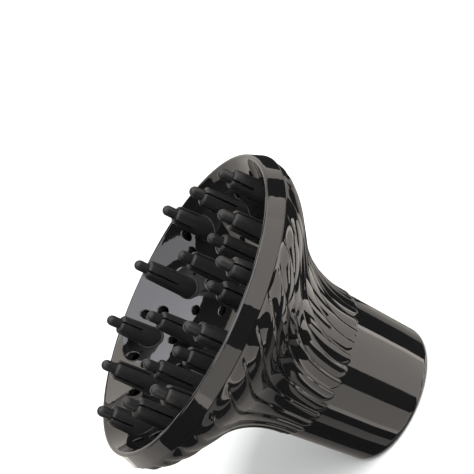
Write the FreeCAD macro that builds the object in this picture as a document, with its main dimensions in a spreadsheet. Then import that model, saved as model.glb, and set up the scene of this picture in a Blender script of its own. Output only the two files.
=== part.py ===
import FreeCAD, Part
import math
import os
import re
import Sketcher

# A hair dryer's diffuser. It stands on the end of its socket: the origin is the centre of that end face, +Z runs
# along the axis towards the fingers, and +X passes through one outer finger. All sizes are in millimetres.

DIMENSIONS = [
    # Rear shell: socket, throat and flare.
    ("mouth_radius", 34.9, "outside of the socket at its end face, before the edge is rounded"),
    ("mouth_opening", 28.6, "radius of the hole in the end face"),
    ("mouth_floor", 2.6, "thickness of the inward rim at the mouth"),
    ("mouth_round", 4.0, "rounding of the outer edge of the mouth"),
    ("neck_radius", 37.6, "outside of the socket where the flare starts"),
    ("neck_height", 48.0, "height where the flare starts"),
    ("flare_straight", 15.0, "length of the straight stretch of the flare"),
    ("shoulder_radius", 43.0, "radius of the convex part of the flare"),
    ("seam_angle", 22.0, "lean of the flare at the seam, in degrees from the axis"),
    ("seam_radius", 80.0, "outside radius at the seam, the widest place"),
    ("seam_height", 112.6, "height of the seam between the two mouldings"),
    ("shell_wall", 2.4, "wall of the rear shell"),
    ("rib_height", 34.0, "height of the groove that keeps the grip in the socket"),
    ("rib_width", 3.0, "width of the grip's rib"),
    ("rib_depth", 0.8, "how far the grip's rib stands out"),
    # Snap joint at the seam.
    ("band_wall", 2.4, "wall of the outer band at the seam"),
    ("spigot_height", 3.2, "height of the shell's spigot above the seam"),
    ("spigot_wall", 1.6, "wall of the spigot"),
    ("bead_height", 1.6, "height of the snap bead's crest above the seam"),
    ("bead_slope", 0.8, "height of each slope of the snap bead"),
    ("bead_rise", 0.4, "how far the snap bead stands out"),
    ("snap_gap", 0.15, "clearance between the spigot and the band"),
    ("ceiling_gap", 0.6, "clearance between the spigot's end and the bowl"),
    # Face bowl.
    ("band_inset", 3.7, "how far the lip's apex is inside the seam's radius, before it is rounded"),
    ("band_height", 9.3, "height of the lip's apex above the seam, before it is rounded"),
    ("lip_round", 1.4, "rounding of the lip"),
    ("dish_radius", 95.0, "radius of the sphere that the dish is part of"),
    ("dish_wall", 2.2, "wall of the dish"),
    ("vent_radius", 2.35, "radius of an air vent"),
    # Fingers.
    ("inner_share", 0.443, "radius of the inner ring of fingers, as a share of the lip's"),
    ("middle_share", 0.7275, "radius of the middle ring of fingers, as a share of the lip's"),
    ("outer_share", 0.8285, "radius of the outer ring of fingers, as a share of the lip's"),
    ("inner_rise", -2.0, "height of the centre of an inner rod's round tip above the lip's apex"),
    ("middle_rise", 8.0, "height of the centre of a middle rod's round tip above the lip's apex"),
    ("outer_rise", 8.0, "height of the centre of an outer rod's round tip above the lip's apex"),
    ("root_radius", 5.8, "radius of a finger where it meets the dish"),
    ("root_depth", 4.4, "how far a root starts below the dish, before the dish's shape is cut from it"),
    ("lobe_radius", 4.85, "radius over the four lobes at their tips"),
    ("lobe_drop", 4.2, "how far the lobes end below the centre of the rod's tip"),
    ("lobe_round", 1.6, "rounding of the lobes' tips"),
    ("core_radius", 3.0, "radius of the hollow between the lobes"),
    ("slot_width", 1.0, "width of the slots between the lobes"),
    ("slot_rise", 7.0, "height of the slots' lower end above the dish"),
    ("rod_radius", 2.75, "radius of the tall centre rod"),
    ("bridge_radius", 3.7, "radius of the bridge that joins the rod to the lobes"),
    ("bridge_height", 2.0, "height of the bridge"),
    ("bridge_drop", 3.6, "how far the bridge's top is below the lobes' tips"),
    ("plug_radius", 2.8, "radius of the plug through the dish"),
    ("plug_gap", 0.1, "clearance between the plug and its hole"),
    ("plug_rise", 4.9, "how far the plug reaches up into the root"),
    ("bulb_radius", 3.6, "radius of the bulb that keeps the plug in"),
    ("bulb_height", 1.8, "height of the bulb"),
    ("bulb_gap", 0.3, "clearance between the bulb and the back of the dish"),
    # Barrel grip.
    ("grip_bore", 24.5, "radius of the hole that holds the dryer's barrel"),
    ("grip_sleeve", 1.8, "wall of the grip's inner sleeve"),
    ("grip_wall", 1.6, "wall of the grip's outer sleeve"),
    ("grip_web", 2.0, "thickness of the web that joins the sleeves"),
    ("grip_height", 40.0, "height of the grip"),
    ("grip_gap", 0.1, "clearance between the grip and the socket"),
    ("fin_width", 1.4, "thickness of a fin between the sleeves"),
    ("fin_rise", 1.5, "how far the fins start above the grip's lower edge"),
]
SIZE = {alias: value for alias, value, meaning in DIMENSIONS}

RING_COUNT = 6
FIN_COUNT = 12

# The three rings: a finger's name, its ring's share, its tip's rise, and the angle of the ring's first finger.
RINGS = [
    ("inner_finger", "inner_share", "inner_rise", 0.0),
    ("middle_finger", "middle_share", "middle_rise", 30.0),
    ("outer_finger", "outer_share", "outer_rise", 0.0),
]

# How far the outline of a cut reaches past the shape that it cuts.
PAST = 1.0

# Vents of one sixth of the dish: distance from the axis as a share of the lip's radius, and angle from an outer
# finger in degrees.
VENTS = [
    (0.197, 0.0),
    (0.393, 30.0),
    (0.606, 20.5),
    (0.606, 39.5),
    (0.687, 0.0),
    (0.811, 14.0),
    (0.811, 46.0),
    (0.853, 30.0),
    (0.891, 10.0),
    (0.891, 50.0),
]

# Derived places, each an expression on the sheet's aliases.
RIM_RADIUS = "(seam_radius - band_inset)"
RIM_HEIGHT = "(seam_height + band_height)"
DISH_CENTRE = f"({RIM_HEIGHT} + sqrt(dish_radius ^ 2 - {RIM_RADIUS} ^ 2))"
SOCKET_TAPER = "((neck_radius - mouth_radius) / neck_height)"
SOCKET_LEAN = "atan((neck_radius - mouth_radius) / neck_height)"
SOCKET_BORE = f"(mouth_radius - shell_wall / cos({SOCKET_LEAN}))"
SKIRT_INSIDE = "(seam_radius - band_wall)"
SPIGOT_OUTSIDE = "(seam_radius - band_wall - snap_gap)"

document = FreeCAD.newDocument("DryerDiffuser")
sheet = document.addObject("Spreadsheet::Sheet", "Dims")
for row, (alias, value, meaning) in enumerate(DIMENSIONS, start=1):
    sheet.set(f"A{row}", alias)
    sheet.set(f"B{row}", str(value))
    sheet.setAlias(f"B{row}", alias)
    sheet.set(f"C{row}", meaning)
document.recompute()


def bound(text):
    """The text as a FreeCAD expression, with each alias read from the sheet."""
    return re.sub(r"[a-z_]+", lambda word: f"Dims.{word[0]}" if word[0] in SIZE else word[0], text)


def measure(text):
    """The number that an expression on the sheet's aliases comes to."""
    result = sheet.evalExpression(bound(text))
    return float(getattr(result, "Value", result))


def new_body(name):
    body = document.addObject("PartDesign::Body", name)
    body.Label = name
    return body


def origin_plane(body, role):
    return next(plane for plane in body.Origin.OriginFeatures if plane.Role == role)


class Outline:
    """A sketch on one of a body's origin planes whose corners and radii are bound to the sheet."""

    def __init__(self, body, name, role="XZ_Plane"):
        self.sketch = body.newObject("Sketcher::SketchObject", name)
        self.sketch.AttachmentSupport = (origin_plane(body, role), [""])
        self.sketch.MapMode = "FlatFace"
        self.count = 0

    def bind(self, kind, references, text):
        """A driving constraint whose value is an expression on the sheet."""
        value = measure(text)
        if kind in ("DistanceX", "DistanceY") and abs(value) < 1e-9:
            axis = -2 if kind == "DistanceX" else -1
            self.sketch.addConstraint(Sketcher.Constraint("PointOnObject", references[0], references[1], axis))
            return
        if kind in ("DistanceX", "DistanceY"):
            ends = (-1, 1, *references) if value > 0 else (*references, -1, 1)
            text = text if value > 0 else f"-({text})"
            references = ends
        self.count += 1
        name = f"size_{self.count}"
        index = self.sketch.addConstraint(Sketcher.Constraint(kind, *references, abs(value)))
        self.sketch.renameConstraint(index, name)
        self.sketch.setExpression(f"Constraints.{name}", bound(text))

    def corner(self, geometry, end, across, up):
        if across is not None:
            self.bind("DistanceX", (geometry, end), across)
        if up is not None:
            self.bind("DistanceY", (geometry, end), up)

    def line(self, start, finish):
        return self.sketch.addGeometry(Part.LineSegment(vector(*start), vector(*finish)), False)

    def arc(self, centre, radius, first, last):
        """An arc that runs anticlockwise between two angles in degrees."""
        circle = Part.Circle(vector(*centre), FreeCAD.Vector(0, 0, 1), radius)
        shape = Part.ArcOfCircle(circle, math.radians(first), math.radians(last))
        return self.sketch.addGeometry(shape, False)

    def circle(self, across, up, radius):
        centre = vector(measure(across), measure(up))
        geometry = self.sketch.addGeometry(Part.Circle(centre, FreeCAD.Vector(0, 0, 1), measure(radius)), False)
        self.corner(geometry, 3, across, up)
        self.bind("Radius", (geometry,), radius)
        return geometry

    def join(self, first, first_end, second, second_end, kind="Coincident"):
        self.sketch.addConstraint(Sketcher.Constraint(kind, first, first_end, second, second_end))

    def chain(self, corners):
        """Lines through the corners in turn, each corner placed by two expressions. Returns the lines."""
        points = [(measure(across), measure(up)) for across, up in corners]
        lines = [self.line(start, finish) for start, finish in zip(points, points[1:])]
        for before, after in zip(lines, lines[1:]):
            self.join(before, 2, after, 1)
        for geometry, (across, up) in zip(lines, corners):
            self.corner(geometry, 1, across, up)
        self.corner(lines[-1], 2, *corners[-1])
        return lines

    def polygon(self, corners):
        """A closed chain of lines."""
        points = [(measure(across), measure(up)) for across, up in corners]
        lines = [self.line(start, finish) for start, finish in zip(points, points[1:] + points[:1])]
        for before, after in zip(lines, lines[1:] + lines[:1]):
            self.join(before, 2, after, 1)
        for geometry, (across, up) in zip(lines, corners):
            self.corner(geometry, 1, across, up)
        return lines


def vector(across, up):
    return FreeCAD.Vector(across, up, 0)


def revolve(body, outline, name, axis="V_Axis", kind="PartDesign::Revolution"):
    feature = body.newObject(kind, name)
    feature.Profile = outline.sketch
    feature.ReferenceAxis = (outline.sketch, [axis])
    feature.Angle = 360
    outline.sketch.Visibility = False
    return feature


def polar_pattern(body, feature, name, count):
    pattern = body.newObject("PartDesign::PolarPattern", name)
    pattern.Originals = [feature]
    pattern.Axis = (next(axis for axis in body.Origin.OriginFeatures if axis.Role == "Z_Axis"), [""])
    pattern.Angle = 360
    pattern.Occurrences = count
    body.Tip = pattern
    return pattern


def check_cut(feature):
    """A cut that points away from the solid removes nothing and shows no error."""
    if feature.Shape.Volume >= feature.BaseFeature.Shape.Volume - 0.1:
        raise ValueError(f"{feature.Label} cut nothing")


def flare_arcs():
    """Centres, throat radius and lean of the flare: throat arc, straight stretch, shoulder arc, all tangent."""
    lean = math.atan2(SIZE["neck_radius"] - SIZE["mouth_radius"], SIZE["neck_height"])
    seam = math.radians(SIZE["seam_angle"])
    shoulder = SIZE["shoulder_radius"]
    centre_x = SIZE["seam_radius"] - shoulder * math.cos(seam)
    centre_y = SIZE["seam_height"] + shoulder * math.sin(seam)
    away_x = centre_x - SIZE["neck_radius"]
    away_y = centre_y - SIZE["neck_height"]
    along = away_x * math.cos(lean) - away_y * math.sin(lean)
    rest = away_x ** 2 + away_y ** 2 - SIZE["flare_straight"] ** 2 - shoulder ** 2
    throat = rest / (2 * (shoulder + along))
    throat_x = SIZE["neck_radius"] + throat * math.cos(lean)
    throat_y = SIZE["neck_height"] - throat * math.sin(lean)
    between = math.atan2(centre_x - throat_x, centre_y - throat_y)
    slope = between + math.atan2(throat + shoulder, SIZE["flare_straight"])
    return (throat_x, throat_y), throat, (centre_x, centre_y), math.degrees(slope), math.degrees(lean)


def polar(centre, radius, degrees):
    return (centre[0] + radius * math.cos(math.radians(degrees)), centre[1] + radius * math.sin(math.radians(degrees)))


def rear_shell():
    """Socket, throat, flare and snap spigot, turned about the axis as one wall."""
    body = new_body("rear_shell")
    outline = Outline(body, "shell_outline")
    throat_centre, throat, shoulder_centre, slope, lean = flare_arcs()
    wall = SIZE["shell_wall"]
    shoulder = SIZE["shoulder_radius"]
    spigot_inside = measure(f"{SPIGOT_OUTSIDE} - spigot_wall")
    inner_end = -math.degrees(math.acos((spigot_inside - shoulder_centre[0]) / (shoulder - wall)))

    # From the inside of the mouth, over the end face and up the outside of the socket.
    outside = outline.chain([
        ("mouth_opening", "0"),
        ("mouth_radius", "0"),
        ("neck_radius", "neck_height"),
    ])[-1]
    throat_arc = outline.arc(throat_centre, throat, 180 - slope, 180 - lean)
    flare = outline.line(polar(throat_centre, throat, 180 - slope), polar(shoulder_centre, shoulder, -slope))
    shoulder_arc = outline.arc(shoulder_centre, shoulder, -slope, -SIZE["seam_angle"])
    outline.join(outside, 2, throat_arc, 2, "Tangent")
    outline.join(throat_arc, 1, flare, 1, "Tangent")
    outline.join(flare, 2, shoulder_arc, 1, "Tangent")
    outline.bind("Distance", (flare,), "flare_straight")
    outline.corner(shoulder_arc, 3, "seam_radius - shoulder_radius * cos(seam_angle * 1deg)",
                   "seam_height + shoulder_radius * sin(seam_angle * 1deg)")

    # The land at the seam, the spigot with its snap bead, and the spigot's inside.
    spigot = outline.chain([
        ("seam_radius", "seam_height"),
        (SPIGOT_OUTSIDE, "seam_height"),
        (SPIGOT_OUTSIDE, "seam_height + bead_height - bead_slope"),
        (f"{SPIGOT_OUTSIDE} + bead_rise", "seam_height + bead_height"),
        (SPIGOT_OUTSIDE, "seam_height + bead_height + bead_slope"),
        (SPIGOT_OUTSIDE, "seam_height + spigot_height"),
        (f"{SPIGOT_OUTSIDE} - spigot_wall", "seam_height + spigot_height"),
    ])
    outline.join(shoulder_arc, 2, spigot[0], 1)

    # The inside of the flare follows the outside at the wall's thickness.
    inner_shoulder = outline.arc(shoulder_centre, shoulder - wall, -slope, inner_end)
    spigot_line = outline.line((spigot_inside, measure("seam_height + spigot_height")),
                               polar(shoulder_centre, shoulder - wall, inner_end))
    inner_flare = outline.line(polar(shoulder_centre, shoulder - wall, -slope),
                               polar(throat_centre, throat + wall, 180 - slope))
    inner_throat = outline.arc(throat_centre, throat + wall, 180 - slope, 180 - lean)
    outline.join(spigot[-1], 2, spigot_line, 1)
    outline.sketch.addConstraint(Sketcher.Constraint("Vertical", spigot_line))
    outline.join(spigot_line, 2, inner_shoulder, 2)
    outline.join(inner_shoulder, 3, shoulder_arc, 3)
    outline.join(inner_throat, 3, throat_arc, 3)
    outline.join(inner_shoulder, 1, inner_flare, 1, "Tangent")
    outline.join(inner_flare, 2, inner_throat, 1, "Tangent")
    outline.sketch.addConstraint(Sketcher.Constraint("Parallel", inner_flare, flare))
    outline.bind("Radius", (inner_shoulder,), "shoulder_radius - shell_wall")

    # Down the inside of the socket, past the groove for the grip's rib, to the inward rim at the mouth.
    groove_low = "(rib_height - rib_width / 2 - grip_gap)"
    groove_high = "(rib_height + rib_width / 2 + grip_gap)"
    groove_depth = "(rib_depth + grip_gap)"
    inside = outline.chain([
        (f"{SOCKET_BORE} + {groove_high} * {SOCKET_TAPER}", groove_high),
        (f"{SOCKET_BORE} + {groove_high} * {SOCKET_TAPER} + {groove_depth}", groove_high),
        (f"{SOCKET_BORE} + {groove_low} * {SOCKET_TAPER} + {groove_depth}", groove_low),
        (f"{SOCKET_BORE} + {groove_low} * {SOCKET_TAPER}", groove_low),
        (f"{SOCKET_BORE} + mouth_floor * {SOCKET_TAPER}", "mouth_floor"),
        ("mouth_opening", "mouth_floor"),
    ])
    upper_bore = outline.line(polar(throat_centre, throat + wall, 180 - lean),
                              (measure(f"{SOCKET_BORE} + {groove_high} * {SOCKET_TAPER}"), measure(groove_high)))
    outline.join(inner_throat, 2, upper_bore, 1, "Tangent")
    outline.join(upper_bore, 2, inside[0], 1)
    closing = outline.line((measure("mouth_opening"), measure("mouth_floor")), (measure("mouth_opening"), 0))
    outline.join(inside[-1], 2, closing, 1)
    outline.join(closing, 2, 0, 1)

    turned = revolve(body, outline, "shell_wall_turned")
    document.recompute()
    mouth = body.newObject("PartDesign::Fillet", "mouth_edge")
    mouth.Base = (turned, [edge_at(turned.Shape, SIZE["mouth_radius"], 0.0)])
    mouth.Radius = SIZE["mouth_round"]
    mouth.setExpression("Radius", bound("mouth_round"))
    body.Tip = mouth
    document.recompute()
    return body


def edge_at(shape, radius, height, tolerance=0.01):
    """The name of the circular edge about the axis with this radius and height."""
    for number, edge in enumerate(shape.Edges, start=1):
        curve = edge.Curve
        if not isinstance(curve, Part.Circle):
            continue
        on_axis = abs(curve.Center.x) < tolerance and abs(curve.Center.y) < tolerance
        if on_axis and abs(curve.Radius - radius) < tolerance and abs(curve.Center.z - height) < tolerance:
            return f"Edge{number}"
    raise ValueError(f"no circular edge of radius {radius} at height {height}")


def face_bowl():
    """Lip, outer band and dish, turned as one wall, then pierced for the vents and the fingers' plugs."""
    body = new_body("face_bowl")
    outline = Outline(body, "bowl_outline")
    centre = (0.0, measure(DISH_CENTRE))
    rear_radius = measure("dish_radius + dish_wall")
    ceiling = "seam_height + spigot_height + ceiling_gap"
    front_end = math.degrees(math.atan2(measure(RIM_HEIGHT) - centre[1], measure(RIM_RADIUS)))
    rear_end = math.degrees(math.asin((measure(ceiling) - centre[1]) / rear_radius))
    ceiling_start = polar(centre, rear_radius, rear_end)

    skirt = outline.chain([
        (SKIRT_INSIDE, ceiling),
        (SKIRT_INSIDE, "seam_height + bead_height + bead_slope + snap_gap"),
        (f"{SKIRT_INSIDE} + bead_rise + snap_gap / 2", "seam_height + bead_height"),
        (SKIRT_INSIDE, "seam_height + bead_height - bead_slope - snap_gap"),
        (SKIRT_INSIDE, "seam_height"),
        ("seam_radius", "seam_height"),
        (RIM_RADIUS, RIM_HEIGHT),
    ])
    front = outline.arc(centre, SIZE["dish_radius"], -90, front_end)
    middle = outline.line((0, centre[1] - SIZE["dish_radius"]), (0, centre[1] - rear_radius))
    rear = outline.arc(centre, rear_radius, -90, rear_end)
    roof = outline.line(ceiling_start, (measure(SKIRT_INSIDE), measure(ceiling)))
    outline.join(skirt[-1], 2, front, 2)
    outline.join(front, 1, middle, 1)
    outline.join(middle, 2, rear, 1)
    outline.join(rear, 2, roof, 1)
    outline.join(roof, 2, skirt[0], 1)
    outline.join(rear, 3, front, 3)
    outline.sketch.addConstraint(Sketcher.Constraint("PointOnObject", front, 3, -2))
    outline.sketch.addConstraint(Sketcher.Constraint("PointOnObject", front, 1, -2))
    outline.sketch.addConstraint(Sketcher.Constraint("PointOnObject", rear, 1, -2))
    outline.sketch.addConstraint(Sketcher.Constraint("Horizontal", roof))
    outline.bind("Radius", (front,), "dish_radius")
    outline.bind("Radius", (rear,), "dish_radius + dish_wall")
    turned = revolve(body, outline, "bowl_wall_turned")
    document.recompute()
    lip = body.newObject("PartDesign::Fillet", "lip")
    lip.Base = (turned, [edge_at(turned.Shape, measure(RIM_RADIUS), measure(RIM_HEIGHT))])
    lip.Radius = SIZE["lip_round"]
    lip.setExpression("Radius", bound("lip_round"))
    body.Tip = lip
    document.recompute()

    pierce(body, "vent", [(f"{share} * {RIM_RADIUS}", angle, "vent_radius") for share, angle in VENTS])
    plugs = [(f"{share} * {RIM_RADIUS}", angle, "plug_radius + plug_gap") for label, share, rise, angle in RINGS]
    pierce(body, "plug_hole", plugs)
    return body


def pierce(body, name, holes):
    """Holes along the axis through the dish, for one sixth of it, then turned into all six sixths."""
    outline = Outline(body, f"{name}_outline", "XY_Plane")
    for away, angle, radius in holes:
        outline.circle(f"{away} * cos({angle} * 1deg)", f"{away} * sin({angle} * 1deg)", radius)
    pocket = body.newObject("PartDesign::Pocket", f"{name}_pocket")
    pocket.Profile = outline.sketch
    pocket.Type = "ThroughAll"
    pocket.Reversed = True
    outline.sketch.Visibility = False
    polar_pattern(body, pocket, f"{name}_pattern", RING_COUNT)
    document.recompute()
    check_cut(pocket)


def dish_height(away, radius="dish_radius"):
    """The height of the dish's sphere at a distance from the axis, as an expression."""
    return f"({DISH_CENTRE} - sqrt(({radius}) ^ 2 - ({away}) ^ 2))"


def finger(name, ring, tip, angle):
    """One soft finger: root on the dish, four lobes round a hollow core, tall rod, plug and bulb."""
    body = new_body(name)
    surface = dish_height(ring)
    lowest = dish_height(f"{ring} - root_radius")
    lobe_top = f"({tip} - lobe_drop)"
    slot_floor = f"({surface} + slot_rise)"
    buried = f"({lowest} - root_depth)"

    # Root and lobes, turned about the finger's own axis.
    outline = Outline(body, "lobe_outline")
    sides = outline.chain([
        ("lobe_radius - lobe_round", lobe_top),
        ("core_radius", lobe_top),
        ("core_radius", slot_floor),
        ("0", slot_floor),
        ("0", buried),
        ("root_radius", buried),
        ("root_radius", surface),
        ("lobe_radius", f"{lobe_top} - lobe_round"),
    ])
    centre = (measure("lobe_radius - lobe_round"), measure(f"{lobe_top} - lobe_round"))
    round_tip = outline.arc(centre, SIZE["lobe_round"], 0, 90)
    outline.join(sides[-1], 2, round_tip, 1)
    outline.join(round_tip, 2, sides[0], 1)
    outline.bind("Radius", (round_tip,), "lobe_round")
    revolve(body, outline, "lobes")

    # The root is cut to the dish's own sphere, turned about the bowl's axis.
    sphere = Outline(body, "sphere_outline")
    near = f"(-root_radius - {PAST})"
    far = f"(root_radius + {PAST})"
    below = f"({buried} - {PAST})"
    ball = (-measure(ring), measure(DISH_CENTRE))
    near_angle = math.degrees(math.acos((measure(f"{ring} + {near}")) / SIZE["dish_radius"]))
    far_angle = math.degrees(math.acos((measure(f"{ring} + {far}")) / SIZE["dish_radius"]))
    floor = sphere.chain([
        (near, dish_height(f"{ring} + {near}")),
        (near, below),
        (far, below),
        (far, dish_height(f"{ring} + {far}")),
    ])
    curve = sphere.arc(ball, SIZE["dish_radius"], -near_angle, -far_angle)
    sphere.join(curve, 1, floor[0], 1)
    sphere.join(curve, 2, floor[-1], 2)
    sphere.bind("Radius", (curve,), "dish_radius")
    axis = sphere.line((-measure(ring), 0), (-measure(ring), measure(RIM_HEIGHT)))
    sphere.sketch.setConstruction(axis, True)
    sphere.sketch.addConstraint(Sketcher.Constraint("Vertical", axis))
    sphere.corner(axis, 1, f"-{ring}", "0")
    sphere.corner(axis, 2, None, RIM_HEIGHT)
    cuts = [revolve(body, sphere, "dish_cut", "Axis0", "PartDesign::Groove")]

    # Slots along the radius and across it.
    for label, role in (("slot_along", "XZ_Plane"), ("slot_across", "YZ_Plane")):
        slot = Outline(body, f"{label}_outline", role)
        slot.polygon([
            (near, slot_floor),
            (far, slot_floor),
            (far, f"{lobe_top} + {PAST}"),
            (near, f"{lobe_top} + {PAST}"),
        ])
        cut = body.newObject("PartDesign::Pocket", label)
        cut.Profile = slot.sketch
        cut.SideType = "Symmetric"
        cut.Length = SIZE["slot_width"]
        cut.setExpression("Length", bound("slot_width"))
        slot.sketch.Visibility = False
        cuts.append(cut)

    # Tall rod with its bridge, and the plug with its bulb.
    rod = Outline(body, "rod_outline")
    bridge_top = f"({lobe_top} - bridge_drop)"
    edge = rod.chain([
        ("0", f"{tip} + rod_radius"),
        ("0", f"{bridge_top} - bridge_height"),
        ("bridge_radius", f"{bridge_top} - bridge_height"),
        ("bridge_radius", bridge_top),
        ("rod_radius", bridge_top),
        ("rod_radius", tip),
    ])
    dome = rod.arc((0, measure(tip)), SIZE["rod_radius"], 0, 90)
    rod.join(edge[-1], 2, dome, 1)
    rod.join(dome, 2, edge[0], 1)
    rod.bind("Radius", (dome,), "rod_radius")
    revolve(body, rod, "rod")

    bulb_top = f"({dish_height(f'{ring} - bulb_radius', 'dish_radius + dish_wall')} - bulb_gap)"
    plug = Outline(body, "plug_outline")
    plug.polygon([
        ("0", f"{bulb_top} - bulb_height"),
        ("bulb_radius - bulb_height / 2", f"{bulb_top} - bulb_height"),
        ("bulb_radius", bulb_top),
        ("plug_radius", bulb_top),
        ("plug_radius", f"{surface} + plug_rise"),
        ("0", f"{surface} + plug_rise"),
    ])
    body.Tip = revolve(body, plug, "plug")

    body.setExpression(".Placement.Base.x", bound(f"{ring} * cos({angle} * 1deg)"))
    body.setExpression(".Placement.Base.y", bound(f"{ring} * sin({angle} * 1deg)"))
    body.setExpression(".Placement.Rotation.Yaw", f"{angle} * 1deg")
    document.recompute()
    for cut in cuts:
        check_cut(cut)
    return body


def barrel_grip():
    """Soft grip in the socket: an outer sleeve, an inner sleeve for the barrel, a web and radial fins."""
    body = new_body("barrel_grip")
    bore = f"({SOCKET_BORE} - grip_gap)"
    top = "(mouth_floor + grip_height)"
    rib_low = "(rib_height - rib_width / 2)"
    rib_high = "(rib_height + rib_width / 2)"
    outline = Outline(body, "grip_outline")
    outline.polygon([
        ("grip_bore", "mouth_floor"),
        ("grip_bore + grip_sleeve", "mouth_floor"),
        ("grip_bore + grip_sleeve", f"{top} - grip_web"),
        (f"{bore} + ({top} - grip_web) * {SOCKET_TAPER} - grip_wall", f"{top} - grip_web"),
        (f"{bore} + mouth_floor * {SOCKET_TAPER} - grip_wall", "mouth_floor"),
        (f"{bore} + mouth_floor * {SOCKET_TAPER}", "mouth_floor"),
        (f"{bore} + {rib_low} * {SOCKET_TAPER}", rib_low),
        (f"{bore} + {rib_low} * {SOCKET_TAPER} + rib_depth", rib_low),
        (f"{bore} + {rib_high} * {SOCKET_TAPER} + rib_depth", rib_high),
        (f"{bore} + {rib_high} * {SOCKET_TAPER}", rib_high),
        (f"{bore} + {top} * {SOCKET_TAPER}", top),
        ("grip_bore", top),
    ])
    revolve(body, outline, "sleeves")

    fin = Outline(body, "fin_outline")
    fin.polygon([
        ("grip_bore + grip_sleeve / 2", "mouth_floor + fin_rise"),
        (f"{bore} + (mouth_floor + fin_rise) * {SOCKET_TAPER} - grip_wall / 2", "mouth_floor + fin_rise"),
        (f"{bore} + {top} * {SOCKET_TAPER} - grip_wall / 2", f"{top} - grip_web / 2"),
        ("grip_bore + grip_sleeve / 2", f"{top} - grip_web / 2"),
    ])
    pad = body.newObject("PartDesign::Pad", "fin")
    pad.Profile = fin.sketch
    pad.SideType = "Symmetric"
    pad.Length = SIZE["fin_width"]
    pad.setExpression("Length", bound("fin_width"))
    fin.sketch.Visibility = False
    polar_pattern(body, pad, "fins", FIN_COUNT)
    document.recompute()
    return body


def check_and_write(bodies):
    """Every object has to be in order and every piece one valid solid before any file is written."""
    document.recompute()
    for item in document.Objects:
        if "Invalid" in item.State or "Error" in item.State:
            raise ValueError(f"{item.Label} is {item.State}")
    for body in bodies:
        shape = body.Shape
        if shape.isNull() or not shape.isValid() or len(shape.Solids) != 1:
            raise ValueError(f"{body.Label} is not one valid solid")
    os.makedirs("parts", exist_ok=True)
    for body in bodies:
        body.Shape.exportStep(f"parts/{body.Label}.step")
        box = body.Shape.BoundBox
        print(f"{body.Label}: volume {body.Shape.Volume:.0f}, z {box.ZMin:.2f} to {box.ZMax:.2f}")


pieces = [rear_shell(), face_bowl(), barrel_grip()]
for label, share, rise, start in RINGS:
    for number in range(RING_COUNT):
        angle = (start + number * 360 / RING_COUNT + 180) % 360 - 180
        ring = f"({share} * {RIM_RADIUS})"
        tip = f"({RIM_HEIGHT} + {rise})"
        pieces.append(finger(f"{label}_{number + 1}", ring, tip, angle))
check_and_write(pieces)
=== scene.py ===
import math

import bmesh
import bpy
from mathutils import Matrix, Quaternion, Vector
from mathutils.geometry import intersect_line_sphere_2d


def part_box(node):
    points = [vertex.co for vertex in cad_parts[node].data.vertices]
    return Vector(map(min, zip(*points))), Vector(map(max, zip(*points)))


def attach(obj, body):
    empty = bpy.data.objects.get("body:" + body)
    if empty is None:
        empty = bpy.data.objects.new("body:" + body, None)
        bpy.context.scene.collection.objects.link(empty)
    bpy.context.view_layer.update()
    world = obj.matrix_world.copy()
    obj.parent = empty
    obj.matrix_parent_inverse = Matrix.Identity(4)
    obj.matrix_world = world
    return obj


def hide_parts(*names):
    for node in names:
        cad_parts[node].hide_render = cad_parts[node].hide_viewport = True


# %% [markdown]
# # A diffuser for a hair dryer
# The object has two gloss black mouldings, a rear shell with a fluted flare and a bowl with air vents, and
# eighteen matt soft fingers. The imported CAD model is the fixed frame: it says where each piece is. This
# script keeps those places, and gives each piece the shape and finish that a person sees.

# %% Load the frame
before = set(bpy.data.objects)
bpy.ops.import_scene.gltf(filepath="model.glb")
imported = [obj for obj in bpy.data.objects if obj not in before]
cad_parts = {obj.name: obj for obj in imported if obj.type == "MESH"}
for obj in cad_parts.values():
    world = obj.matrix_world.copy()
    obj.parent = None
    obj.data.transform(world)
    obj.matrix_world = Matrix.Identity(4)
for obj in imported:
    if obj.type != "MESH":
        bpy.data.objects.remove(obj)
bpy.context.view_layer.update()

# %% [markdown]
# ## Sizes
# Places that the frame holds are read from it, such as the widest circle at the seam between the two
# mouldings. The rest are the few sizes that drive the outlines. Lengths are in metres, so millimetres are
# written as a number times MM.

# %% Driving sizes
MM = 0.001
shell_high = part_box("rear_shell")[1]
seam_radius = shell_high.x
spigot_height = 3.2 * MM
spigot_inset = 2.55 * MM
spigot_wall = 1.6 * MM
seam_height = shell_high.z - spigot_height

mouth_radius = 34.9 * MM
mouth_opening = 28.6 * MM
mouth_floor = 2.6 * MM
mouth_round = 4.0 * MM
neck_radius = 37.6 * MM
neck_height = 48.0 * MM
flare_straight = 15.0 * MM
shoulder_radius = 43.0 * MM
seam_angle = math.radians(22)
shell_wall = 2.4 * MM
rim_radius = seam_radius - 3.7 * MM
rim_height = seam_height + 9.3 * MM
lip_round = 1.4 * MM
dish_radius = 95.0 * MM
dish_wall = 2.2 * MM
skirt_inset = 2.4 * MM
ceiling_gap = 0.6 * MM
dish_centre = rim_height + math.sqrt(dish_radius ** 2 - rim_radius ** 2)
edge = 0.2 * MM
print(f"seam {seam_radius / MM:.1f} mm out and {seam_height / MM:.1f} mm up")
print(f"the dish's sphere has its centre {dish_centre / MM:.1f} mm up")

# %% [markdown]
# ## A pen that draws outlines
# Both mouldings, the fingers and the grip are turned shapes: one section, swept round an axis. A pen that
# grows an outline vertex by vertex is close to how the mould's lathe works. Each line or arc extrudes the
# last vertex and moves it, and turn() spins the finished outline into a closed skin. The alternative,
# typing the corners of an arc, would hide its radius.

# %% The pen
MERGE = 0.002 * MM


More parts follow.
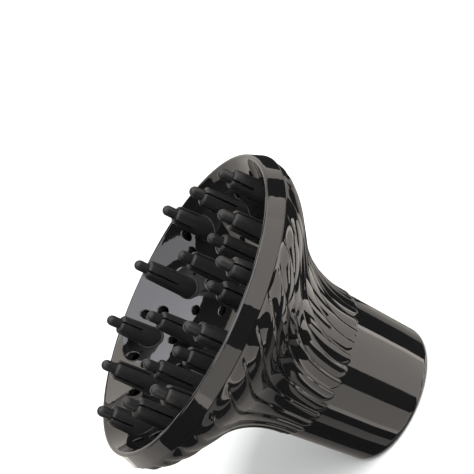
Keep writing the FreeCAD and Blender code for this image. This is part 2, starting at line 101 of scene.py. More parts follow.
class Outline:
    """A section in the XZ plane that grows from its end by lines and arcs, and is then turned about Z."""

    def __init__(self, x, z):
        self.mesh = bmesh.new()
        self.first = self.mesh.verts.new((x, 0, z))
        self.end = self.first

    def grow(self):
        """Extrudes the end, and returns the new end."""
        self.end = bmesh.ops.extrude_vert_indiv(self.mesh, verts=[self.end])["verts"][0]
        return self.end

    def line(self, x, z, steps=1):
        """Carries the end straight to (x, z)."""
        start = self.end.co.copy()
        for step in range(1, steps + 1):
            self.grow().co = start.lerp(Vector((x, 0, z)), step / steps)

    def arc(self, x, z, angle, steps):
        """Carries the end about (x, z), anticlockwise where the angle is positive."""
        turn = Matrix.Rotation(-angle / steps, 3, "Y")
        for step in range(steps):
            bmesh.ops.rotate(self.mesh, verts=[self.grow()], cent=(x, 0, z), matrix=turn)

    def close(self):
        """Joins the end to the start, and returns the pen."""
        self.mesh.edges.new((self.end, self.first))
        return self

    def turn(self, steps):
        """Spins the section into a closed skin whose faces point outwards, and returns it."""
        section = self.mesh.verts[:] + self.mesh.edges[:]
        bmesh.ops.spin(self.mesh, geom=section, cent=(0, 0, 0), axis=(0, 0, 1), angle=math.tau, steps=steps,
                       use_merge=True)
        bmesh.ops.remove_doubles(self.mesh, verts=self.mesh.verts[:], dist=MERGE)
        bmesh.ops.recalc_face_normals(self.mesh, faces=self.mesh.faces[:])
        return self.mesh


# %% [markdown]
# ## From mesh to piece
# Every finished piece has its place in its mesh, rides on the frame's one body, and says which CAD node it
# stands for. Edges that turn sharply stay crisp, and all others are shaded smooth.


# %% Helpers that finish a piece
SHARP = math.radians(38)


def as_object(name, shape):
    """A new object in the scene with this bmesh as its mesh."""
    mesh = bpy.data.meshes.new(name)
    shape.to_mesh(mesh)
    shape.free()
    made = bpy.data.objects.new(name, mesh)
    bpy.context.scene.collection.objects.link(made)
    return made


def carve(piece, tool, operation):
    """Joins the tool to the piece or cuts it away, and removes the tool."""
    boolean = piece.modifiers.new("carve", "BOOLEAN")
    boolean.operation = operation
    boolean.solver = "EXACT"
    boolean.object = tool
    settled = piece.evaluated_get(bpy.context.evaluated_depsgraph_get())
    piece.data = bpy.data.meshes.new_from_object(settled)
    piece.modifiers.clear()
    bpy.data.objects.remove(tool)


def finish_piece(piece, node, material):
    """Shades the piece, dresses it, and lets it stand for a CAD node."""
    piece.data.shade_smooth()
    piece.data.set_sharp_from_angle(angle=SHARP)
    piece.data.materials.clear()
    piece.data.materials.append(material)
    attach(piece, "root")
    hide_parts(node)


# %% [markdown]
# ## Shader sums written as Python
# A finish is a few sums on noise patterns. Wrapping a node's output in a small class lets the sums read
# like sums: each operator adds one Math node. Colours go through a Mix node, because a Math node would turn
# them grey. The room and the lights have node trees too, so the method that adds a node is in a class of
# its own.


# %% Signals and paint
class Signal:
    """One output of a node, on which Python's operators add Math nodes."""

    def __init__(self, graph, socket):
        self.graph = graph
        self.socket = socket

    def math(self, operation, *terms):
        return self.graph.node("ShaderNodeMath", {"operation": operation}, list(terms))

    def __add__(self, other):
        return self.math("ADD", self, other)

    __radd__ = __add__

    def __mul__(self, other):
        return self.math("MULTIPLY", self, other)

    __rmul__ = __mul__


class Graph:
    """A node tree, with the one method that adds a node to it."""

    def __init__(self, tree):
        self.tree = tree

    def built_in(self, kind):
        """The node of this kind that a new tree starts with."""
        return next(node for node in self.tree.nodes if node.type == kind)

    def node(self, kind, settings, inputs, output=0):
        """Adds a node, sets its settings first and then its sockets, and returns one output."""
        made = self.tree.nodes.new(kind)
        for key, value in settings.items():
            setattr(made, key, value)
        for key, value in enumerate(inputs) if isinstance(inputs, list) else inputs.items():
            self.join(value, made.inputs[key])
        return Signal(self, made.outputs[output])

    def join(self, value, socket):
        """Links a signal to the socket, or sets the socket to a plain value."""
        if isinstance(value, Signal):
            self.tree.links.new(value.socket, socket)
        else:
            socket.default_value = value


class Paint(Graph):
    """A new material whose Principled shader starts with these constants."""

    def __init__(self, name, constants):
        self.material = bpy.data.materials.new(name)
        self.material.use_nodes = True
        super().__init__(self.material.node_tree)
        self.shader = self.built_in("BSDF_PRINCIPLED")
        for socket, value in constants.items():
            self.shader.inputs[socket].default_value = value

    def feed(self, socket, value):
        self.join(value, self.shader.inputs[socket])

    def place(self):
        """Where a point of the surface is, in the object's own metres."""
        return self.node("ShaderNodeTexCoord", {}, {}, "Object")

    def noise(self, scale, detail):
        """Clouds from 0 to 1, with about this many to the metre."""
        inputs = {"Vector": self.place(), "Scale": scale, "Detail": detail}
        return self.node("ShaderNodeTexNoise", {}, inputs)

    def cells(self, scale):
        """Distance to the nearest of a scatter of points."""
        return self.node("ShaderNodeTexVoronoi", {}, {"Vector": self.place(), "Scale": scale})

    def step(self, signal, low, high):
        """A soft step: 0 where the signal is under low, 1 where it is over high."""
        inputs = {"Value": signal, "From Min": low, "From Max": high}
        return self.node("ShaderNodeMapRange", {"interpolation_type": "SMOOTHSTEP"}, inputs)

    def blend(self, mask, first, second):
        """The first colour where the mask is 0 and the second where it is 1."""
        return self.node("ShaderNodeMix", {"data_type": "RGBA"}, {0: mask, 6: first, 7: second}, 2)

    def relief(self, height, depth):
        """A bump whose height of 1 stands this far out, in metres."""
        inputs = {"Height": height, "Distance": depth, "Strength": 1.0}
        self.feed("Normal", self.node("ShaderNodeBump", {}, inputs))


# %% [markdown]
# ## The finishes
# The mouldings are polished ABS: nearly black, with a mirror's gloss. What keeps such a surface from
# looking like a computer's idea of black is small: the skin waves a little where the plastic shrank,
# handling leaves clouds that are a shade duller, and fine dust catches the light. The fingers and the grip
# are soft-touch rubber, with a fine grain and no mirror.

# %% Polished plastic
DEEP_BLACK = (0.0040, 0.0040, 0.0043, 1)
WORN_BLACK = (0.0066, 0.0065, 0.0068, 1)
DUST = (0.045, 0.044, 0.042, 1)


def polished(name, ripple):
    """Gloss black, with a fine ripple of this depth in its reflections.

    The wave is added up in metres, and the relief takes it in MM.
    """
    paint = Paint(name, {"IOR": 1.5})
    clouds = paint.noise(38.0, 3.0)
    dust = paint.step(paint.cells(900.0), 0.10, 0.04)
    rare = paint.step(paint.noise(240.0, 2.0), 0.60, 0.70)
    specks = dust * rare
    tone = paint.blend(clouds, DEEP_BLACK, WORN_BLACK)
    paint.feed("Base Color", paint.blend(specks, tone, DUST))
    paint.feed("Roughness", 0.03 + 0.04 * paint.step(clouds, 0.42, 0.72) + 0.25 * specks)
    wave = paint.noise(52.0, 1.0) * 0.05 * MM + paint.noise(150.0, 2.0) * ripple
    paint.relief(wave * (1 / MM), MM)
    return paint.material


shell_gloss = polished("shell_gloss", 0.015 * MM)
bowl_gloss = polished("bowl_gloss", 0.05 * MM)
print("polished finishes:", shell_gloss.name, bowl_gloss.name)

# %% Soft-touch rubber
LINT = (0.06, 0.06, 0.058, 1)


def soft_touch(name, dark, light):
    """Matt rubber with a fine grain, clouded between two blacks, with a little lint on it."""
    paint = Paint(name, {"IOR": 1.5, "Specular IOR Level": 0.3})
    clouds = paint.noise(160.0, 4.0)
    grain = paint.noise(3800.0, 2.0)
    lint = paint.step(paint.cells(700.0), 0.09, 0.05) * paint.step(paint.noise(300.0, 1.0), 0.62, 0.70)
    tone = paint.blend(clouds, dark, light)
    paint.feed("Base Color", paint.blend(lint, tone, LINT))
    paint.feed("Roughness", 0.34 + 0.12 * clouds + 0.06 * grain)
    paint.relief(grain, 0.03 * MM)
    return paint.material


finger_soft = soft_touch("finger_soft", (0.0070, 0.0070, 0.0073, 1), (0.0115, 0.0115, 0.0119, 1))
grip_soft = soft_touch("grip_soft", (0.008, 0.008, 0.008, 1), (0.014, 0.014, 0.014, 1))
print("soft finishes:", finger_soft.name, grip_soft.name)

# %% [markdown]
# ## The rear shell's outline
# The outside of the flare is one smooth line: a concave throat, a short straight stretch and a convex
# shoulder, each tangent to the next. Three radii and two points fix it, so the arcs' centres are solved
# here in the same way as in the CAD. The pen starts inside the mouth, goes up the outside to the seam, and
# comes back down the inside.


# %% Solve the flare's arcs
def flare_arcs():
    """Throat centre and radius, shoulder centre, slope of the straight stretch, and lean of the socket."""
    lean = math.atan2(neck_radius - mouth_radius, neck_height)
    shoulder = Vector((seam_radius - shoulder_radius * math.cos(seam_angle),
                       seam_height + shoulder_radius * math.sin(seam_angle)))
    away = shoulder - Vector((neck_radius, neck_height))
    along = away.x * math.cos(lean) - away.y * math.sin(lean)
    beyond = away.length_squared - flare_straight ** 2 - shoulder_radius ** 2
    throat_radius = beyond / (2 * (shoulder_radius + along))
    throat = Vector((neck_radius + throat_radius * math.cos(lean),
                     neck_height - throat_radius * math.sin(lean)))
    between = shoulder - throat
    slope = math.atan2(between.x, between.y) + math.atan2(throat_radius + shoulder_radius, flare_straight)
    return throat, throat_radius, shoulder, slope, lean


throat, throat_radius, shoulder, slope, lean = flare_arcs()
print(f"throat radius {throat_radius / MM:.1f} mm, straight stretch {math.degrees(slope):.1f} degrees")

# %% Draw the rear shell
TIP_START = 40.5 * MM
TIP_ARC = math.radians(7.5)
SEAM_SOFT = math.radians(0.3)


def on_circle(centre, radius, angle):
    """The x and z of a point on a circle of the section."""
    return centre.x + radius * math.cos(angle), centre.y + radius * math.sin(angle)


def shell_outline():
    """The shell's section, and the number of its vertices that are on the outside."""
    mouth_centre = mouth_radius - mouth_round * (1 - math.sin(lean)) / math.cos(lean)
    pen = Outline(mouth_opening + edge, 0)
    pen.line(mouth_centre, 0, steps=2)
    pen.arc(mouth_centre, mouth_round, math.pi / 2 - lean, steps=9)
    pen.line(mouth_radius + (neck_radius - mouth_radius) * TIP_START / neck_height, TIP_START, steps=3)
    pen.line(neck_radius, neck_height, steps=16)
    pen.arc(throat.x, throat.y, -TIP_ARC, steps=14)
    pen.arc(throat.x, throat.y, lean - slope + TIP_ARC, steps=46)
    pen.line(*on_circle(shoulder, shoulder_radius, -slope), steps=12)
    pen.arc(shoulder.x, shoulder.y, slope - seam_angle - SEAM_SOFT, steps=18)
    outside = len(pen.mesh.verts)

    spigot = seam_radius - spigot_inset
    inside = shoulder_radius - shell_wall
    pen.line(seam_radius - edge, seam_height)
    pen.line(spigot, seam_height)
    pen.line(spigot, seam_height + spigot_height)
    pen.line(spigot - spigot_wall, seam_height + spigot_height)
    inner_end = -math.acos((spigot - spigot_wall - shoulder.x) / inside)
    pen.line(*on_circle(shoulder, inside, inner_end))
    pen.arc(shoulder.x, shoulder.y, -slope - inner_end, steps=8)
    pen.line(*on_circle(throat, throat_radius + shell_wall, math.pi - slope), steps=2)
    pen.arc(throat.x, throat.y, slope - lean, steps=14)
    bore = mouth_radius - shell_wall / math.cos(lean)
    pen.line(bore + mouth_floor * math.tan(lean), mouth_floor, steps=2)
    pen.line(mouth_opening, mouth_floor)
    pen.line(mouth_opening, edge)
    return pen.close(), outside


outline, outside_count = shell_outline()
print("rear shell's outline has", len(outline.mesh.verts), "points,", outside_count, "of them outside")

# %% [markdown]
# ## Flutes
# Thirty-six flutes sweep down the flare like overlapping feathers: each has a short steep face, a rounded
# ridge and a long back, swirls about forty degrees on its way from the seam to the socket, and ends in a
# rounded tongue. Displacing a mesh with a texture would blur the steep face. Here the outline is spun into
# a whole number of columns to a flute, and the columns are then slid round, so that five of every sixteen
# crowd on the steep face. A flute stands out by a share of the radius where it is, so it is deepest at the
# wide end.

# %% The flutes' numbers
FLUTES = 36
COLUMNS = 16
FACE_COLUMNS = 5
RIDGE_WIDTH = 0.22
FLUTE_RISE = 0.019
FLUTE_GAP = 1.0 * MM
FLUTE_START = 5.5 * MM
SWIRL = math.radians(-38)
LATE_SWIRL = 0.25
FLUTE_PHASE = math.radians(3)
TONGUE_DROP = 4.5 * MM
TONGUE_SIDE = 9 * MM
TONGUE_MIDDLE = 0.35
TONGUE_POWER = 1.8
TONGUE_FADE = 2.2 * MM
print(FLUTES, "flutes of", COLUMNS, "columns each")


def column_share(column):
    """How far round its flute a column is: the first few crowd on the steep face."""
    if column <= FACE_COLUMNS:
        return RIDGE_WIDTH * column / FACE_COLUMNS
    return RIDGE_WIDTH + (1 - RIDGE_WIDTH) * (column - FACE_COLUMNS) / (COLUMNS - FACE_COLUMNS)


def ease(value):
    """A soft step from 0 to 1."""
    value = min(max(value, 0.0), 1.0)
    return value * value * (3 - 2 * value)


def swirl_at(height):
    """How far the flutes have turned at a height: none at the seam, all of it at the neck."""
    down = min(max((seam_height - height) / (seam_height - neck_height), 0.0), 1.0)
    return SWIRL * math.sin(down * math.pi / 2) * (1 - LATE_SWIRL + LATE_SWIRL * down)


def flute_rise(share, radius, height):
    """How far a flute stands out, at a share of its width, a radius and a height."""
    back = max(share - RIDGE_WIDTH, 0.0) / (1 - RIDGE_WIDTH)
    section = ease(share / RIDGE_WIDTH) if share < RIDGE_WIDTH else 1 - back ** 2
    start = ease((seam_height - FLUTE_GAP - height) / FLUTE_START)
    tip = neck_height - TONGUE_DROP + TONGUE_SIDE * abs(share - TONGUE_MIDDLE) ** TONGUE_POWER
    end = ease((height - tip) / TONGUE_FADE)
    return FLUTE_RISE * radius * section * start * end


# %% Spin the shell and raise its flutes
def fluted_shell(outline, outside_count):
    """The turned shell, with the vertices of its outer skin slid round and pushed out into flutes."""
    skin = outline.mesh.verts.layers.int.new("skin")
    for number, vertex in enumerate(outline.mesh.verts):
        vertex[skin] = int(number < outside_count)
    shape = outline.turn(FLUTES * COLUMNS)
    shape.normal_update()
    column_angle = math.tau / (FLUTES * COLUMNS)
    moves = []
    for vertex in shape.verts:
        column = round(-math.atan2(vertex.co.y, vertex.co.x) / column_angle) % (FLUTES * COLUMNS)
        flute, place = divmod(column, COLUMNS)
        share = column_share(place)
        angle = FLUTE_PHASE + swirl_at(vertex.co.z) - (flute + share) * math.tau / FLUTES
        radius = math.hypot(vertex.co.x, vertex.co.y)
        rise = flute_rise(share, radius, vertex.co.z) * vertex[skin]
        radius += rise * math.hypot(vertex.normal.x, vertex.normal.y)
        moves.append((vertex, Vector((radius * math.cos(angle), radius * math.sin(angle),
                                      vertex.co.z + rise * vertex.normal.z))))
    for vertex, place in moves:
        vertex.co = place
    return shape


rear_shell = as_object("rear_shell_fluted", fluted_shell(outline, outside_count))
finish_piece(rear_shell, "rear_shell", shell_gloss)
print("rear shell:", len(rear_shell.data.polygons), "faces")

# %% [markdown]
# ## The bowl
# The bowl is one moulding: a shallow dish that is part of a sphere, a rounded lip, and a narrow band that
# leans in from the seam to the lip. The lip's arc touches both the band's straight line and the dish's
# sphere, so its centre is where a line beside the band meets a larger sphere.

# %% Draw the bowl
BAND_SEARCH = 20
BAND_END = 10 * MM
BAND_CORNER = 1.2


def lip_centre():
    """The centre of the lip's arc: one lip radius inside the band's line and outside the dish's sphere."""
    band = Vector((rim_radius - seam_radius, rim_height - seam_height)).normalized()
    inwards = Vector((-band.y, band.x))
    start = Vector((seam_radius, seam_height)) + inwards * lip_round
    middle = Vector((0, dish_centre))
    search_end = start + band * BAND_SEARCH * MM
    found = intersect_line_sphere_2d(start, search_end, middle, dish_radius + lip_round, False)
    return min(found, key=lambda place: (place - Vector((rim_radius, rim_height))).length), inwards


def bowl_outline():
    """The bowl's section, from the dish's middle over the lip and round the back to the middle again."""
    lip, inwards = lip_centre()
    middle = Vector((0, dish_centre))
    touch = lip - middle
    dish_end = math.atan2(touch.y, touch.x)
    band_side = math.atan2(-inwards.y, -inwards.x)
    lip_start = math.atan2(-touch.y, -touch.x)
    pen = Outline(0, dish_centre - dish_radius)
    pen.arc(0, dish_centre, dish_end + math.pi / 2, steps=64)
    pen.arc(lip.x, lip.y, band_side - lip_start, steps=14)
    band_low = Vector((seam_radius, seam_height)).lerp(Vector((rim_radius, rim_height)), edge / BAND_END)
    pen.line(band_low.x, band_low.y, steps=8)
    pen.line(seam_radius - edge * BAND_CORNER, seam_height)
    skirt = seam_radius - skirt_inset
    ceiling = seam_height + spigot_height + ceiling_gap
    rear_radius = dish_radius + dish_wall
    rear_end = math.asin((ceiling - dish_centre) / rear_radius)
    pen.line(skirt, seam_height)
    pen.line(skirt, ceiling)
    pen.line(rear_radius * math.cos(rear_end), ceiling)
    pen.arc(0, dish_centre, -math.pi / 2 - rear_end, steps=32)
    return pen


DISH_COLUMNS = 360
face_bowl = as_object("face_bowl_vented", bowl_outline().turn(DISH_COLUMNS))
print("bowl before its vents:", len(face_bowl.data.polygons), "faces")

# %% [markdown]
# ## Vents
# Sixty round vents run straight through the dish, and each has a softened front edge that catches a ring of
# light. The vents are cut by small turned tools. A tool's rings follow the dish's own slope, so the
# softened edge has the same width all the way round, on the flat middle and on the steep side alike.

# %% The vents' places
VENT_RADIUS = 2.35 * MM
VENT_SOFT = 0.55 * MM
VENT_SOFT_TURN = math.radians(78)
VENT_DEPTH = 6 * MM
VENT_PROUD = 1.5 * MM
VENT_STEPS = 32
VENTS = [(0.197, 0.0), (0.393, 30.0), (0.606, 20.5), (0.606, 39.5), (0.687, 0.0),
         (0.811, 14.0), (0.811, 46.0), (0.853, 30.0), (0.891, 10.0), (0.891, 50.0)]
print(len(VENTS) * 6, "vents, each given as a share of the rim's radius and degrees round")


def dish_height(x, y):
    """The height of the dish's front at a place."""
    return dish_centre - math.sqrt(dish_radius ** 2 - x * x - y * y)


def add_tool(tools, template, x, y):
    """A copy of the turned template at a place, with each of its vertices at its own height on the dish."""
    copied = bmesh.ops.duplicate(tools, geom=template)["geom"]
    for vertex in (item for item in copied if isinstance(item, bmesh.types.BMVert)):
        vertex.co.x += x
        vertex.co.y += y
        vertex.co.z += dish_height(vertex.co.x, vertex.co.y)


def vent_tools():
    """One mesh of all the tools: vents for every sixth of the dish."""
    pen = Outline(0, -VENT_DEPTH)
    pen.line(VENT_RADIUS, -VENT_DEPTH)
    pen.line(VENT_RADIUS, -VENT_SOFT)
    pen.arc(VENT_RADIUS + VENT_SOFT, -VENT_SOFT, -VENT_SOFT_TURN, steps=4)
    pen.line(pen.end.co.x, VENT_PROUD)
    pen.line(0, VENT_PROUD)
    tools = pen.turn(VENT_STEPS)
    template = tools.verts[:] + tools.edges[:] + tools.faces[:]
    for share, degrees in VENTS:
        for sixth in range(6):
            angle = math.radians(degrees + 60 * sixth)
            radius = share * rim_radius
            add_tool(tools, template, radius * math.cos(angle), radius * math.sin(angle))
    bmesh.ops.delete(tools, geom=template[:], context="VERTS")
    return tools


# %% Cut the vents
carve(face_bowl, as_object("vent_tools", vent_tools()), "DIFFERENCE")
finish_piece(face_bowl, "face_bowl", bowl_gloss)
print("bowl:", len(face_bowl.data.polygons), "faces")

# %% [markdown]
# ## Fingers
# Each finger is one soft moulding: a root that sits on the dish's slope, four lobes round a hollow, and a
# tall rod in their middle. It is turned first, then two thin blades cut the slots, and the rod and the plug
# are joined in. A small bevel stands for the softness of the moulding. The bevel is clamped, so the shortest
# edge that the cuts leave sets how wide it may be on the whole finger. All the fingers of a ring are the
# same, so each ring's mesh is made once, at the ring's distance from the axis, and copied round.

# %% The fingers' sizes
ROOT_RADIUS = 5.8 * MM
LOBE_RADIUS = 4.85 * MM
LOBE_DROP = 4.2 * MM
LOBE_ROUND = 1.6 * MM
CORE_RADIUS = 3.0 * MM
SLOT_WIDTH = 1.0 * MM
SLOT_RISE = 7.0 * MM
ROD_RADIUS = 2.75 * MM
PLUG_RADIUS = 2.8 * MM
BULB_RADIUS = 3.6 * MM
BULB_TAPER = 0.9 * MM
BULB_HEIGHT = 1.8 * MM
BRIDGE_DROP = 3.6 * MM
BRIDGE_HEIGHT = 2 * MM
BRIDGE_REACH = 0.7 * MM
CORE_LEAD = 0.1 * MM
CORE_LEAD_DEPTH = 0.15 * MM
BLADE_LENGTH = 16 * MM
SLOT_CLEAR = 0.01 * MM
ROOT_FLANGE = [(0.25, -0.6), (0.25, 0.25), (0.1, 0.45), (-0.12, 0.5), (-0.12, 0.9)]
print(f"rods {2 * ROD_RADIUS / MM:.1f} mm thick in lobes {2 * LOBE_RADIUS / MM:.1f} mm across")


def seat_on_dish(shape, ring, low, high):
    """Slides the lower rows up or down so that the root follows the dish's slope."""
    level = dish_height(ring, 0)
    for vertex in shape.verts:
        share = 1 - min(max((vertex.co.z - low) / (high - low), 0.0), 1.0)
        vertex.co.z += share * (dish_height(ring + vertex.co.x, vertex.co.y) - level)


def lobes_outline(level, tip):
    """Root and lobes, from under the dish's surface to the rounded tips, hollow above the slots' floor.

    The root's flange is given in MM, out from the root's radius and up from the dish's surface.
    """
    top = tip - LOBE_DROP
    pen = Outline(0, level + ROOT_FLANGE[0][1] * MM)
    for out, up in ROOT_FLANGE:
        pen.line(ROOT_RADIUS + out * MM, level + up * MM)
    pen.line(LOBE_RADIUS, top - LOBE_ROUND, steps=8)
    pen.arc(LOBE_RADIUS - LOBE_ROUND, top - LOBE_ROUND, math.pi / 2, steps=6)
    pen.line(CORE_RADIUS + CORE_LEAD, top)
    pen.line(CORE_RADIUS, top - CORE_LEAD_DEPTH)
    pen.line(CORE_RADIUS, level + SLOT_RISE)
    pen.line(0, level + SLOT_RISE)
    return pen


def blades(floor, top):
    """Two crossed blades that cut the slots."""
    shape = bmesh.new()
    for width, depth in ((BLADE_LENGTH, SLOT_WIDTH), (SLOT_WIDTH, BLADE_LENGTH)):
        cube = bmesh.ops.create_cube(shape, size=1)["verts"]
        bmesh.ops.scale(shape, vec=Vector((width, depth, top - floor)), verts=cube)
        bmesh.ops.translate(shape, vec=(0, 0, (floor + top) / 2), verts=cube)
    return shape


def rod_outline(low, tip):
    """The rod with its bridge to the lobes and its round tip."""
    bridge = tip - LOBE_DROP - BRIDGE_DROP
    pen = Outline(0, low)
    pen.line(ROD_RADIUS, low)
    pen.line(ROD_RADIUS, bridge - BRIDGE_HEIGHT)
    pen.line(CORE_RADIUS + BRIDGE_REACH, bridge - BRIDGE_HEIGHT)
    pen.line(CORE_RADIUS + BRIDGE_REACH, bridge)
    pen.line(ROD_RADIUS, bridge)
    pen.line(ROD_RADIUS, tip, steps=2)
    pen.arc(0, tip, math.pi / 2, steps=10)
    return pen


def plug_outline(level, low):
    """The plug that goes through the dish, and the bulb that keeps it there."""
    pen = Outline(0, low)
    pen.line(BULB_RADIUS - BULB_TAPER, low)
    pen.line(BULB_RADIUS, low + BULB_HEIGHT)
    pen.line(PLUG_RADIUS, low + BULB_HEIGHT)
    pen.line(PLUG_RADIUS, level + SLOT_RISE / 2)
    pen.line(0, level + SLOT_RISE / 2)
    return pen


# %% Build one finger of each ring
FINGER_STEPS = 48
ROD_STEPS = 32
SOFT_WIDTH = 0.16 * MM
SOFT_ANGLE = math.radians(50)


def finger_shape(name, ring, top, low):
    """One finger at angle zero, a ring's distance out along X."""
    tip = top - ROD_RADIUS
    level = dish_height(ring, 0)
    lobes = lobes_outline(level, tip).turn(FINGER_STEPS)
    seat_on_dish(lobes, ring, level, level + SLOT_RISE)
    body = as_object(name, lobes)
    slots = blades(level + SLOT_RISE + SLOT_CLEAR, tip)
    carve(body, as_object("slot_blades", slots), "DIFFERENCE")
    carve(body, as_object("rod", rod_outline(level + SLOT_RISE / 2, tip).turn(ROD_STEPS)), "UNION")
    carve(body, as_object("plug", plug_outline(level, low).turn(ROD_STEPS)), "UNION")
    body.data.transform(Matrix.Translation((ring, 0, 0)))
    return body


def soften(piece):
    """A small bevel on the sharp edges, as wide as the piece's shortest edge allows."""
    bevel = piece.modifiers.new("soft_edges", "BEVEL")
    bevel.width = SOFT_WIDTH
    bevel.segments = 2
    bevel.limit_method = "ANGLE"
    bevel.angle_limit = SOFT_ANGLE
    bevel.use_clamp_overlap = True


def place_ring(label):
    """Reads a ring's places from its six CAD nodes, and puts a finger on each."""
    low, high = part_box(f"{label}_1")
    middle = (low + high) / 2
    ring = math.hypot(middle.x, middle.y)
    pattern = finger_shape(f"{label}_pattern", ring, high.z, low.z)
    for number in range(1, 7):
        node_low, node_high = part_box(f"{label}_{number}")
        centre = (node_low + node_high) / 2
        piece = bpy.data.objects.new(f"{label}_{number}_soft", pattern.data.copy())
        bpy.context.scene.collection.objects.link(piece)
        piece.data.transform(Matrix.Rotation(math.atan2(centre.y, centre.x), 4, "Z"))
        soften(piece)
        finish_piece(piece, f"{label}_{number}", finger_soft)
    bpy.data.objects.remove(pattern)
    print(f"{label}: ring {ring / MM:.1f} mm, tips at {high.z / MM:.1f} mm")


for label in ("inner_finger", "middle_finger", "outer_finger"):
    place_ring(label)

# %% [markdown]
# ## The grip
# Deep in the socket a soft sleeve holds the dryer's barrel. It is two sleeves joined by a web at the top,
# with thin fins between them that give way as the barrel goes in. Only a look up the mouth shows it.

# %% Build the grip
GRIP_BORE = 24.5 * MM
GRIP_SLEEVE = 1.8 * MM
GRIP_WALL = 1.6 * MM
GRIP_WEB = 2.0 * MM
FIN_COUNT = 12
FIN_WIDTH = 1.4 * MM
FIN_START = 1.5 * MM
GRIP_GAP = 0.1 * MM
GRIP_STEPS = 192


def grip_sleeves(low, high):
    """The section of both sleeves and the web that joins them at the top."""
    outer = mouth_radius - shell_wall / math.cos(lean) - GRIP_GAP
    tan = math.tan(lean)
    web = high - GRIP_WEB
    pen = Outline(GRIP_BORE, low)
    pen.line(GRIP_BORE + GRIP_SLEEVE, low)
    pen.line(GRIP_BORE + GRIP_SLEEVE, web)
    pen.line(outer + web * tan - GRIP_WALL, web)
    pen.line(outer + low * tan - GRIP_WALL, low)
    pen.line(outer + low * tan, low)
    pen.line(outer + high * tan, high, steps=6)
    pen.line(GRIP_BORE, high)
    return pen.close()


def grip_fins(low, high):
    """Twelve fins that reach from sleeve to sleeve."""
    shape = bmesh.new()
    inner = GRIP_BORE + GRIP_SLEEVE / 2
    outer = mouth_radius - shell_wall - GRIP_WALL / 2
    fin = bmesh.ops.create_cube(shape, size=1)["verts"]
    bmesh.ops.scale(shape, vec=(outer - inner, FIN_WIDTH, high - low), verts=fin)
    bmesh.ops.translate(shape, vec=((inner + outer) / 2, 0, (low + high) / 2), verts=fin)
    whole = shape.verts[:] + shape.edges[:] + shape.faces[:]
    bmesh.ops.spin(shape, geom=whole, cent=(0, 0, 0), axis=(0, 0, 1),
                   angle=math.tau * (FIN_COUNT - 1) / FIN_COUNT, steps=FIN_COUNT - 1, use_duplicate=True)
    return shape


grip_low, grip_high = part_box("barrel_grip")
grip = as_object("barrel_grip_soft", grip_sleeves(grip_low.z, grip_high.z).turn(GRIP_STEPS))
fins = as_object("grip_fins", grip_fins(grip_low.z + FIN_START, grip_high.z - GRIP_WEB / 2))
carve(grip, fins, "UNION")
soften(grip)
finish_piece(grip, "barrel_grip", grip_soft)
print("grip:", len(grip.data.polygons), "faces")

# %% [markdown]
# ## Studio
# Black gloss shows almost nothing of its own: what a person sees is the studio. The room is soft white
# light from all sides, which reflections hardly see, and twenty bright screens that only reflections see.
# Each screen is a piece of a sphere round the object's rim, given by where it starts and ends in degrees
# round from the camera, by where it starts and ends in degrees above or below the horizon, and by its
# strength and tint.

# %% Floor and room
VIEW_AZIMUTH = 5.0
FLOOR_RADIUS = 6
ROOM_STRENGTH = 0.66
ROOM_IN_MIRRORS = 0.03
SUN_STRENGTH = 4.4
SUN_SPREAD = math.radians(42)


def studio_direction(azimuth, elevation):
    """A unit vector, for degrees round from the camera and degrees above the horizon."""
    turned = math.radians(VIEW_AZIMUTH - 90 + azimuth)
    lifted = math.radians(elevation)
    level = math.cos(lifted)
    return Vector((math.cos(turned) * level, math.sin(turned) * level, math.sin(lifted)))


floor_shape = bmesh.new()
bmesh.ops.create_circle(floor_shape, cap_ends=True, segments=64, radius=FLOOR_RADIUS)
floor = as_object("studio_floor", floor_shape)
floor_paint = Paint("pale_floor", {"Roughness": 0.9, "Specular IOR Level": 0.0})
mottle = floor_paint.noise(3.0, 2.0)
floor_paint.feed("Base Color", floor_paint.blend(mottle, (0.90, 0.92, 0.91, 1), (0.93, 0.95, 0.94, 1)))
floor.data.materials.append(floor_paint.material)
floor.visible_glossy = False

world = bpy.data.worlds.new("soft_room")
bpy.context.scene.world = world
world.use_nodes = True
room = Graph(world.node_tree)
background = room.built_in("BACKGROUND")
in_mirrors = room.node("ShaderNodeLightPath", {}, {}, "Is Glossy Ray")
room_levels = {0: in_mirrors, 2: ROOM_STRENGTH, 3: ROOM_IN_MIRRORS}
room.join(room.node("ShaderNodeMix", {"data_type": "FLOAT"}, room_levels), background.inputs["Strength"])
room.join((1, 1, 1, 1), background.inputs["Color"])

sun = bpy.data.objects.new("soft_sun", bpy.data.lights.new("soft_sun", "SUN"))
sun.data.energy = SUN_STRENGTH
sun.data.angle = SUN_SPREAD
sun.rotation_mode = "QUATERNION"
sun.rotation_quaternion = studio_direction(35, 44).to_track_quat("Z", "Y")
sun.visible_glossy = False
bpy.context.scene.collection.objects.link(sun)
print("floor, room and sun are up")

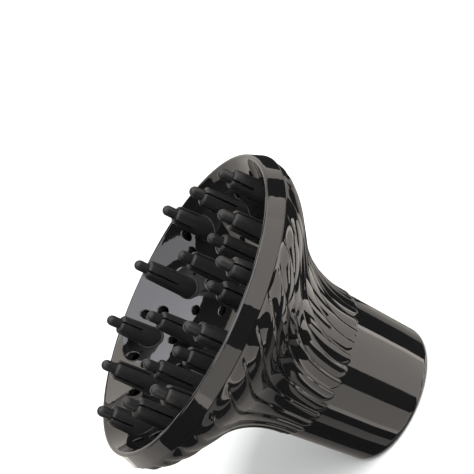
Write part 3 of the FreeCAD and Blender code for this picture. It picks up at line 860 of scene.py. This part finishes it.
# %% The studio's lights
LIGHT_DISTANCE = 3.0
SCREEN_STEP = 4
WARM = (1.0, 0.93, 0.86, 1)
COOL = (0.94, 0.94, 1.0, 1)
LIGHTS = [
    ("key", 20, 85, -52, 28, 2.9, WARM),
    ("key_low", 20, 50, -76, -52, 3.0, WARM),
    ("key_low_side", 68, 91, -76, -52, 3.6, WARM),
    ("key_edge", 84, 91, -52, -15, 5.0, WARM),
    ("key_side", 84, 103, -15, 28, 2.6, WARM),
    ("key_upper", 60, 121, 27, 56, 3.7, WARM),
    ("fill", -47, -9, -71, 25, 1.9, WARM),
    ("fill_edge", -53, -46, -71, 25, 3.0, WARM),
    ("lip_light", -80, 60, 37, 49, 5.5, WARM),
    ("thin", -84, -68, -71, -22, 0.8, WARM),
    ("low_back", -180, -120, -86, -19, 0.3, WARM),
    ("low_side", -146, -96, -14, 16, 1.1, WARM),
    ("low_edge", -168, -140, -18, -2, 3.0, WARM),
    ("far_side", 128, 165, -50, -28, 0.6, WARM),
    ("far_low", 108, 150, -86, -50, 2.2, WARM),
    ("far_low_back", 162, 180, -86, -56, 1.4, WARM),
    ("backdrop", 122, 242, -4, 46, 1.2, WARM),
    ("overhead", 0, 360, 74, 90, 5.2, COOL),
    ("overhead_front", -14, 132, 56, 74, 5.0, COOL),
    ("overhead_left", -92, -24, 58, 69, 3.2, COOL),
]


def light_material(name, strength, tint):
    """A plain glow that isn't sampled as a lamp, so only rays that happen to meet it see it."""
    material = bpy.data.materials.new(name)
    material.use_nodes = True
    graph = Graph(material.node_tree)
    graph.tree.nodes.remove(graph.built_in("BSDF_PRINCIPLED"))
    glow = graph.node("ShaderNodeEmission", {}, {"Strength": strength, "Color": tint})
    graph.join(glow, graph.built_in("OUTPUT_MATERIAL").inputs["Surface"])
    material.cycles.emission_sampling = "NONE"
    return material


def hang_light(name, shape, strength, tint):
    """Only reflections see the light: it adds no glare of its own."""
    light = as_object(name, shape)
    light.data.materials.append(light_material(name, strength, tint))
    light.visible_camera = False
    light.visible_diffuse = False
    light.visible_shadow = False
    light.visible_transmission = False


def screen_shape(start, end, low, high):
    """Part of a sphere about the rim, from one azimuth to another and one elevation to another."""
    shape = bmesh.new()
    rows = max(2, round((high - low) / SCREEN_STEP))
    points = [shape.verts.new(studio_direction(start, low) * LIGHT_DISTANCE)]
    across = studio_direction(start, 0).cross(Vector((0, 0, 1)))
    bmesh.ops.spin(shape, geom=points, cent=(0, 0, 0), axis=across, angle=math.radians(high - low),
                   steps=rows)
    bmesh.ops.spin(shape, geom=shape.verts[:] + shape.edges[:], cent=(0, 0, 0), axis=(0, 0, 1),
                   angle=math.radians(end - start), steps=max(2, round((end - start) / SCREEN_STEP)))
    bmesh.ops.remove_doubles(shape, verts=shape.verts[:], dist=MM)
    bmesh.ops.translate(shape, verts=shape.verts[:], vec=(0, 0, rim_height))
    return shape


for name, start, end, low, high, strength, tint in LIGHTS:
    hang_light(f"light_{name}", screen_shape(start, end, low, high), strength, tint)
print(len(LIGHTS), "screens,", LIGHT_DISTANCE, "m from the rim's middle")

# %% [markdown]
# ## Camera
# The diffuser is seen from a little above its rim and turned on its side, as if it had been laid down: the
# camera itself is rolled, and the object stands. A long lens from well back keeps the perspective gentle.

# %% Camera
VIEW_ELEVATION = 19.4
VIEW_ROLL = -64.59
VIEW_DISTANCE = 0.6441
LENS = 103.45
SENSOR = 36
RIM_LEFT = 27.1 * MM
RIM_LOW = 30.5 * MM
back = studio_direction(0, VIEW_ELEVATION)
camera = bpy.data.objects.new("camera", bpy.data.cameras.new("camera"))
bpy.context.scene.collection.objects.link(camera)
camera.data.lens = LENS
camera.data.sensor_width = SENSOR
camera.rotation_mode = "QUATERNION"
roll = Quaternion((0, 0, 1), math.radians(VIEW_ROLL))
camera.rotation_quaternion = (-back).to_track_quat("-Z", "Y") @ roll
slide = camera.rotation_quaternion @ Vector((RIM_LEFT, RIM_LOW, 0))
camera.location = Vector((0, 0, rim_height - lip_round)) + back * VIEW_DISTANCE + slide
bpy.context.scene.camera = camera
bpy.context.scene.view_settings.view_transform = "Standard"
print("camera stands at", tuple(round(value, 3) for value in camera.location))
